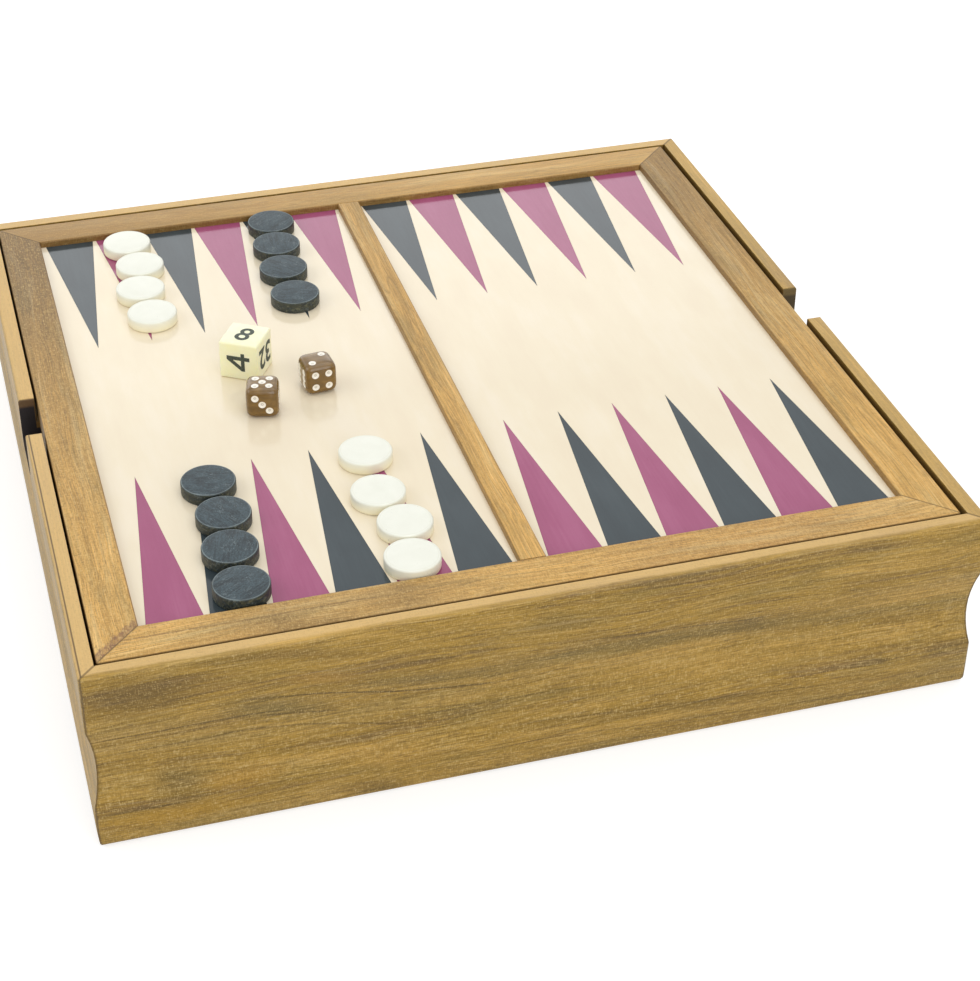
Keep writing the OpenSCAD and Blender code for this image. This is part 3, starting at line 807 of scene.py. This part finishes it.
def counter_space(tree):
    """Where a point lies on its own counter in millimetres, the same moved on for each counter,
    its distance from the axis and its height."""
    turned = add(tree, "Attribute", {"attribute_name": "turned"})
    lot = add(tree, "Attribute", {"attribute_name": "lot"})
    space = add(
        tree,
        "VectorMath",
        {"operation": "MULTIPLY_ADD"},
        {0: lot.outputs["Fac"], 1: (31.0, 17.0, 0.0), 2: turned.outputs["Vector"]},
    )
    parts = add(tree, "SeparateXYZ", inputs={0: turned.outputs["Vector"]})
    flat = add(tree, "CombineXYZ", inputs={0: parts.outputs["X"], 1: parts.outputs["Y"]})
    radius = add(tree, "VectorMath", {"operation": "LENGTH"}, {0: flat})
    return space, radius.outputs["Value"], parts.outputs["Z"]


def black_stained_beech():
    """Turned beech, stained black and rubbed: matt, with the grain, pores and pale scuffs
    showing on top, a painted highlight along the eased rim, and olive-brown wood on the worn sides,
    which painted shade darkens."""
    material, tree, shader = new_material("black_stained_beech")
    space, radius, height = counter_space(tree)
    grain = stretched(tree, space, 12, 0.8, 4.0, 0.65)
    tone = stretched(tree, space, 6, 4, 3.0, 0.6)
    level = add(tree, "Math", {"operation": "MULTIPLY_ADD"}, {0: tone, 1: 0.9, 2: grain})
    colour = add(
        tree, "ValToRGB", {"ramp": [(0.75, "#1f2a2f"), (0.95, "#2f3d43"), (1.0, "#36454b")]}, {0: level}
    )
    # Mottling about 0.5 mm across
    mottle = stretched(tree, space, 0.7, 0.5, 2.0, 0.6)
    gain = add(
        tree,
        "MapRange",
        inputs={"Value": mottle, "From Min": 0.3, "From Max": 0.7, "To Min": 0.55, "To Max": 1.45},
    )
    colour = add(tree, "VectorMath", {"operation": "SCALE"}, {0: colour, "Scale": gain})
    # Painted shade darkens the sides, which carry stripes and chips of worn wood
    side = add(
        tree,
        "MapRange",
        inputs={"Value": radius, "From Min": COUNTER_R - 0.25, "From Max": COUNTER_R - 0.05},
    )
    bands = stretched(tree, space, 7, 1.1, 3.0)
    worn = add(
        tree,
        "MapRange",
        inputs={"Value": bands, "From Min": 0.38, "From Max": 0.62, "To Min": 0.1, "To Max": 1.0},
    )
    colour = stain(tree, colour, side, 0.6, "#12181a")
    colour = stain(tree, colour, where_all(tree, side, worn), 0.6, "#4a4a36")
    chips = stretched(tree, space, 1.6, 0.9, 2.0, 0.6)
    chips = add(tree, "MapRange", inputs={"Value": chips, "From Min": 0.56, "From Max": 0.66})
    colour = stain(tree, colour, where_all(tree, side, chips), 0.6, "#6a6c55")
    # Pale scratches and pores, and a painted highlight along the eased rim
    veins = within(tree, stretched(tree, space, 7, 3, 4.0, 0.65), 0.5, 0.004, 0.014)
    patches = stretched(tree, space, 5, 5, 2.0)
    patches = add(tree, "MapRange", inputs={"Value": patches, "From Min": 0.48, "From Max": 0.62})
    colour = stain(tree, colour, where_all(tree, veins, patches), 0.5, "#7f8c8e")
    speck = stretched(tree, space, 0.9, 0.4, 1.0, 0.6)
    speck = add(tree, "MapRange", inputs={"Value": speck, "From Min": 0.66, "From Max": 0.74})
    colour = stain(tree, colour, speck, 0.5, "#7f8c8e")
    rim = within(tree, radius, COUNTER_R - 0.42, 0.1, 0.14)
    top = add(tree, "Math", {"operation": "GREATER_THAN"}, {0: height, 1: COUNTER_T - 0.45})
    colour = stain(tree, colour, where_all(tree, rim, top, tone), 1.0, "#8a9696")
    relief = add(tree, "Math", {"operation": "ADD"}, {0: grain, 1: mottle})
    bump = add(tree, "Bump", inputs={"Height": relief, "Strength": 0.35, "Distance": 0.06 * MM})
    fit(tree, shader, {"Base Color": colour, "Roughness": 0.5, "Normal": bump, "Specular IOR Level": 0.4})
    return material


def white_painted_beech():
    """Turned beech under smooth white paint: semi-gloss, with a faint ring inside the rim where
    the brush turned. Low on the sides a painted reflection of the cream field makes it yellower,
    and a painted contact shadow darkens the foot."""
    material, tree, shader = new_material("white_painted_beech")
    space, radius, height = counter_space(tree)
    cloud = stretched(tree, space, 9, 6, 3.0)
    colour = add(tree, "ValToRGB", {"ramp": [(0.3, "#edeee1"), (0.7, "#f2f3e7")]}, {0: cloud})
    # Painted reflection of the cream field, yellower low on the sides
    low = add(tree, "MapRange", inputs={"Value": height, "From Min": 4.3, "From Max": 0.3})
    streaks = stretched(tree, space, 9, 0.5, 3.0)
    low = add(tree, "Math", {"operation": "MULTIPLY_ADD"}, {0: streaks, 1: 0.4, 2: low})
    side = add(
        tree, "MapRange", inputs={"Value": radius, "From Min": COUNTER_R - 0.4, "From Max": COUNTER_R}
    )
    colour = stain(tree, colour, where_all(tree, low, side), 0.65, "#fdf2c8")
    # Painted contact shadow along the foot
    foot = where_all(tree, within(tree, height, 0.15, 0.2, 0.4), side)
    colour = stain(tree, colour, foot, 0.35, "#bfa868")
    colour = stain(tree, colour, within(tree, radius, COUNTER_R - 1, 0.08, 0.16), 0.25, "#d9d8bf")
    speck = stretched(tree, space, 0.8, 0.8, 1.0, 0.5)
    speck = add(tree, "MapRange", inputs={"Value": speck, "From Min": 0.76, "From Max": 0.8})
    colour = stain(tree, colour, speck, 0.5, "#a9a998")
    bump = add(tree, "Bump", inputs={"Height": streaks, "Strength": 0.08, "Distance": 0.03 * MM})
    fit(tree, shader, {"Base Color": colour, "Roughness": 0.32, "Normal": bump, "Specular IOR Level": 0.4})
    return material


def turned_counter(node, name, material, lot, ease):
    """A counter turned from its half section, with edges rounded by ease. Its points keep their
    place on the counter and its lot, which turns and moves the pattern of its wood."""
    low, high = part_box(node)
    centre = Vector(((low[0] + high[0]) / 2, (low[1] + high[1]) / 2, low[2]))
    r, t, e = COUNTER_R, COUNTER_T, ease
    section = [(0, 0)]
    for corner_z, start in ((e, -90), (t - e, 0)):
        for step in range(ARC_STEPS + 1):
            a = math.radians(start + 90 / ARC_STEPS * step)
            section.append((r - e + e * math.cos(a), corner_z + e * math.sin(a)))
    section.append((0, t))
    bm = bmesh.new()
    points = [bm.verts.new((x * MM, 0, z * MM)) for x, z in section]
    edges = [bm.edges.new(pair) for pair in zip(points, points[1:])]
    bmesh.ops.spin(
        bm,
        geom=points + edges,
        cent=(0, 0, 0),
        axis=(0, 0, 1),
        angle=math.tau,
        steps=COUNTER_SIDES,
        use_merge=True,
    )
    bmesh.ops.remove_doubles(bm, verts=bm.verts, dist=0.001 * MM)
    bmesh.ops.recalc_face_normals(bm, faces=bm.faces)
    smooth_to(bm, 40)
    mesh = bpy.data.meshes.new(name)
    bm.to_mesh(mesh)
    bm.free()
    spun = Matrix.Rotation(lot * LOT_TURN, 3, "Z")
    mesh.attributes.new("turned", "FLOAT_VECTOR", "POINT")
    mesh.attributes.new("lot", "FLOAT", "POINT")
    turned, number = mesh.attributes["turned"], mesh.attributes["lot"]
    for i, place in enumerate([spun @ vertex.co / MM for vertex in mesh.vertices]):
        turned.data[i].vector = place
        number.data[i].value = lot
    mesh.transform(Matrix.Translation(centre))
    place_piece(mesh, name, node + "_body", [material], [node])


black_finish = black_stained_beech()
white_finish = white_painted_beech()
for n in range(1, 9):
    turned_counter(
        f"black_counter_{n}", f"black_stained_counter_{n}", black_finish, n, 0.5
    )
    turned_counter(
        f"white_counter_{n}", f"white_painted_counter_{n}", white_finish, n + 8, 0.8
    )


# ---- Dice and doubling cube ----------------------------------------------------------------


def pearly_amber_plastic():
    """Cast acrylic with pearl pigment, tumbled and polished: amber brown, with slow swirls. In
    the drilled pips it has white paint, greyer in a ring near the middle."""
    material, tree, shader = new_material("pearly_amber_acrylic")
    space = grain_space(tree, 20, 41)
    swirl = stretched(tree, space, 9, 4, 3.0, 0.5, 1.5)
    colour = add(
        tree, "ValToRGB", {"ramp": [(0.3, "#66490f"), (0.5, "#76561a"), (0.7, "#866626")]}, {0: swirl}
    )
    reach = add(tree, "Attribute", {"attribute_name": "from_pip"}).outputs["Fac"]
    paint = add(tree, "MapRange", inputs={"Value": reach, "From Min": 1.04, "From Max": 0.94})
    ring = within(tree, reach, 0.26, 0.06, 0.14)
    cloud = stretched(tree, space, 0.8, 0.8, 2.0)
    ring = where_all(tree, ring, cloud)
    white = add(tree, "Mix", {"data_type": "RGBA"}, {0: ring, 6: linear("#fbf6ea"), 7: linear("#8f8674")})
    colour = add(tree, "Mix", {"data_type": "RGBA"}, {0: paint, 6: colour, 7: white})
    gloss = add(tree, "MapRange", inputs={"Value": paint, "To Min": 0.2, "To Max": 0.4})
    fit(
        tree,
        shader,
        {"Base Color": colour, "Roughness": gloss, "IOR": 1.5, "Coat Weight": 0.4, "Coat Roughness": 0.1},
    )
    return material


def pip_places(count):
    """Places of a face's pips, in units of their spacing."""
    return {
        1: [(0, 0)],
        2: [(-1, -1), (1, 1)],
        3: [(-1, 1), (0, 0), (1, -1)],
        4: [(-1, -1), (-1, 1), (1, -1), (1, 1)],
        5: [(-1, -1), (-1, 1), (0, 0), (1, -1), (1, 1)],
        6: [(-1, -1), (0, -1), (1, -1), (-1, 1), (0, 1), (1, 1)],
    }[count]


def pip_centres(top, front, right):
    """The middle of each pip on its face, with the face's outward direction, in millimetres."""
    faces = (
        (top, Matrix.Identity(3)),
        (7 - top, Matrix.Rotation(math.pi, 3, "X")),
        (front, Matrix.Rotation(math.pi / 2, 3, "X")),
        (7 - front, Matrix.Rotation(-math.pi / 2, 3, "X")),
        (right, Matrix.Rotation(math.pi / 2, 3, "Y")),
        (7 - right, Matrix.Rotation(-math.pi / 2, 3, "Y")),
    )
    return [
        (way @ Vector((u * PIP_PITCH, v * PIP_PITCH, DIE_W / 2)), way @ Vector((0, 0, 1)))
        for count, way in faces
        for u, v in pip_places(count)
    ]


def polished_die(node, place, turn, faces):
    """A tumbled die: a finely divided cube, rounded to a superellipsoid, with its pips hollowed.
    Each point keeps its distance from the middle of the nearest pip, where 1 is the pip's edge."""
    pips = pip_centres(*faces)
    half = DIE_W / 2
    bm = bmesh.new()
    bmesh.ops.create_cube(bm, size=DIE_W)
    bmesh.ops.subdivide_edges(bm, edges=bm.edges[:], cuts=DIE_CUTS, use_grid_fill=True)
    reach = []
    for vertex in bm.verts:
        spot = vertex.co / sum(abs(v / half) ** DIE_POWER for v in vertex.co) ** (1 / DIE_POWER)
        near = DIE_W
        for mouth, out in pips:
            off = spot - mouth
            if off.dot(out) > -PIP_NEAR:
                side = (off - out * off.dot(out)).length / PIP_R
                near = min(near, side)
                if side < 1:
                    spot -= out * (PIP_DEPTH * (1 - side**2))
                    break
        vertex.co = spot
        reach.append(near)
    smooth_to(bm, 60)
    mesh = bpy.data.meshes.new(node + "_polished")
    bm.to_mesh(mesh)
    bm.free()
    ring = mesh.attributes.new("from_pip", "FLOAT", "POINT")
    for i, near in enumerate(reach):
        ring.data[i].value = near
    mesh.transform(Matrix.Rotation(math.radians(turn), 4, "Z"))
    mesh.transform(Matrix.Translation((place[0], place[1], FIELD_Z + half)))
    mesh.transform(Matrix.Diagonal((MM, MM, MM, 1)))
    place_piece(mesh, node + "_polished", node + "_body", [amber], [node])


amber = pearly_amber_plastic()
polished_die("die_five", FIVE_PLACE, FIVE_TURN, (5, 3, 6))
polished_die("die_two", TWO_PLACE, TWO_TURN, (2, 4, 1))


def cube_plastic():
    """Urea plastic, moulded: pale yellow, faintly milky, with a soft shine."""
    material, tree, shader = new_material("pale_yellow_urea")
    cloud = stretched(tree, grain_space(tree, 0, 43), 6, 6, 3.0)
    colour = add(tree, "ValToRGB", {"ramp": [(0.3, "#fefac8"), (0.7, "#fffdd4")]}, {0: cloud})
    fine = stretched(tree, grain_space(tree, 0, 44), 0.6, 0.6, 2.0)
    bump = add(tree, "Bump", inputs={"Height": fine, "Strength": 0.1, "Distance": 0.03 * MM})
    fit(
        tree,
        shader,
        {
            "Base Color": colour,
            "Roughness": 0.3,
            "Normal": bump,
            "IOR": 1.5,
            "Coat Weight": 0.9,
            "Coat Roughness": 0.25,
            "Subsurface Weight": 0.4,
            "Subsurface Radius": (1.0, 0.85, 0.5),
            "Subsurface Scale": 0.004,
        },
    )
    return material


def digit_ink():
    """Dark grey-green ink, hot-stamped: matt, with tiny gaps."""
    material, tree, shader = new_material("stamped_digit_ink")
    speck = stretched(tree, grain_space(tree, 0, 45), 0.5, 0.5, 2.0)
    colour = add(tree, "ValToRGB", {"ramp": [(0.35, "#2f382f"), (0.7, "#4a5446")]}, {0: speck})
    fit(tree, shader, {"Base Color": colour, "Roughness": 0.55})
    return material


def open_four():
    """An open-topped block figure 4 as a mesh, one unit high."""
    outer = [(0.5, 0), (0.68, 0), (0.68, 0.22), (0.84, 0.22), (0.84, 0.38), (0.68, 0.38)]
    outer += [(0.68, 1), (0.5, 1), (0, 0.37), (0, 0.22), (0.5, 0.22)]
    inner = [(0.5, 0.38), (0.5, 0.73), (0.22, 0.38)]
    bm = bmesh.new()
    edges = []
    for loop in (outer, inner):
        corners = [bm.verts.new((x, y, 0)) for x, y in loop]
        edges += [bm.edges.new(pair) for pair in zip(corners, corners[1:] + corners[:1])]
    bmesh.ops.triangle_fill(bm, use_beauty=True, use_dissolve=False, edges=edges, normal=(0, 0, 1))
    mesh = bpy.data.meshes.new("digits")
    bm.to_mesh(mesh)
    bm.free()
    return mesh


def stamped(text, height, way, spin):
    """The digits of one face of the cube as a mesh, standing just proud of the face."""
    if text == "4":
        mesh = open_four()
    else:
        words = bpy.data.curves.new("digits", "FONT")
        words.body = text
        # Thickens the strokes, most of all where the print ran
        words.offset = 0.026 if text == "32" else 0.016
        holder = bpy.data.objects.new("digits", words)
        scene.collection.objects.link(holder)
        bpy.context.view_layer.update()
        mesh = bpy.data.meshes.new_from_object(holder.evaluated_get(bpy.context.evaluated_depsgraph_get()))
        bpy.data.objects.remove(holder)
    xs = [v.co.x for v in mesh.vertices]
    ys = [v.co.y for v in mesh.vertices]
    middle = Vector(((min(xs) + max(xs)) / 2, (min(ys) + max(ys)) / 2, 0))
    size = height / (max(ys) - min(ys))
    mesh.transform(Matrix.Diagonal((size, size, 1, 1)) @ Matrix.Translation(-middle))
    mesh.transform(Matrix.Rotation(math.radians(spin), 4, "Z"))
    mesh.transform(Matrix.Translation((0, 0, CUBE_W / 2 + STAMP_RISE)))
    mesh.transform(way.to_4x4())
    return mesh


def numbered_cube():
    """The CAD cube with 2, 4, 8, 16, 32 and 64 stamped on its faces."""
    bm = merged_copy("doubling_cube")
    smooth_to(bm, 30)
    stand = Matrix.Translation((*CUBE_PLACE, FIELD_Z + CUBE_W / 2))
    stand = stand @ Matrix.Rotation(math.radians(CUBE_TURN), 4, "Z")
    faces = (
        ("8", 9.2, Matrix.Identity(3), -11),
        ("16", 9.0, Matrix.Rotation(math.pi, 3, "X"), 0),
        ("4", 9.4, Matrix.Rotation(math.pi / 2, 3, "X"), 90),
        ("64", 9.0, Matrix.Rotation(-math.pi / 2, 3, "X"), 0),
        ("32", 9.2, Matrix.Rotation(math.pi / 2, 3, "Z") @ Matrix.Rotation(math.pi / 2, 3, "X"), 180),
        ("2", 9.4, Matrix.Rotation(-math.pi / 2, 3, "Z") @ Matrix.Rotation(math.pi / 2, 3, "X"), 0),
    )
    for text, height, way, spin in faces:
        digits = stamped(text, height, way, spin)
        digits.transform(Matrix.Diagonal((MM, MM, MM, 1)) @ stand)
        known = set(bm.faces)
        bm.from_mesh(digits)
        for face in bm.faces:
            if face not in known:
                face.material_index = 1
        bpy.data.meshes.remove(digits)
    mesh = bpy.data.meshes.new("numbered_cube")
    bm.to_mesh(mesh)
    bm.free()
    place_piece(
        mesh,
        "numbered_cube",
        "doubling_cube_body",
        [cube_plastic(), digit_ink()],
        ["doubling_cube"],
    )


numbered_cube()
